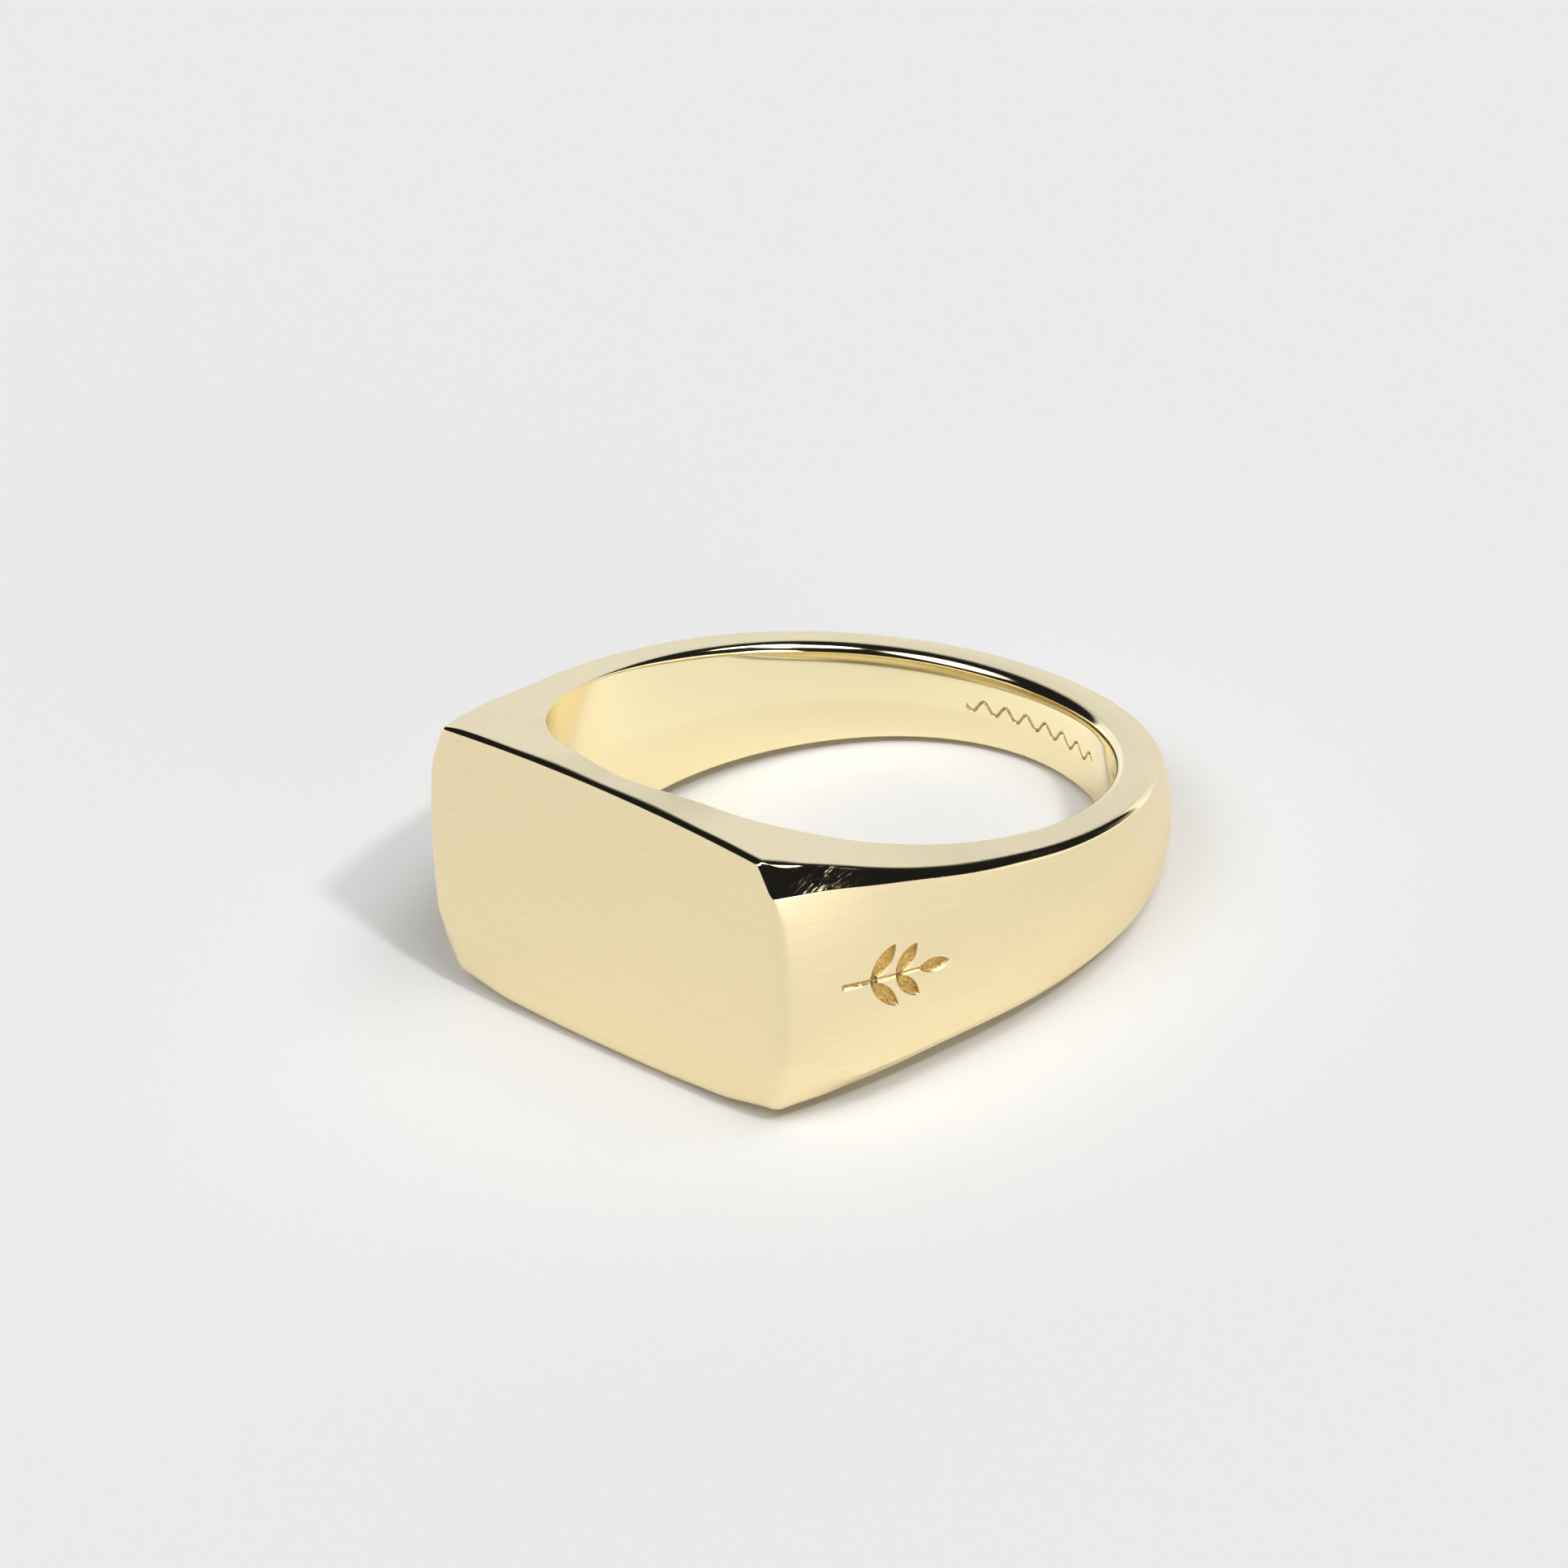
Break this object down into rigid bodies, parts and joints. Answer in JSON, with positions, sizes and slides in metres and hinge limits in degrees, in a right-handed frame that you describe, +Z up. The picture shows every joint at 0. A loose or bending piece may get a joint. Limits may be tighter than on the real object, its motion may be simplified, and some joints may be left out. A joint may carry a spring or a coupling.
{
  "type": "signet ring",
  "caption": "Gold signet ring with a blank cushion-shaped face, tapering band, broken edges and a leaf sprig engraved on one shoulder, lying on its side.",
  "frame": {"origin": "middle of the footprint, on the surface that the ring lies on", "axes": "+Z up, -Y toward the signet face, +X toward the engraved shoulder; the finger axis leans from +Z toward +Y by 9.95 degrees, because the ring lies on the rim of its wide head and the edge of its narrow shank"},
  "size_m": [0.0226, 0.0226, 0.01],
  "materials": {
    "gold_face": "fine brushed satin along the face's length",
    "gold_band": "satin sides and outside, polished finger hole and broken edges",
    "gold_solder": "filed flush and finished with the metal on both sides"
  },
  "bodies": {
    "root": {"signet_table": "gold_face", "table_solder": "gold_solder", "head_block": "gold_band", "left_head_solder": "gold_solder", "right_head_solder": "gold_solder", "left_shoulder": "gold_band", "right_shoulder": "gold_band", "left_shank_solder": "gold_solder", "right_shank_solder": "gold_solder", "shank_back": "gold_band"}
  },
  "joints": []
}
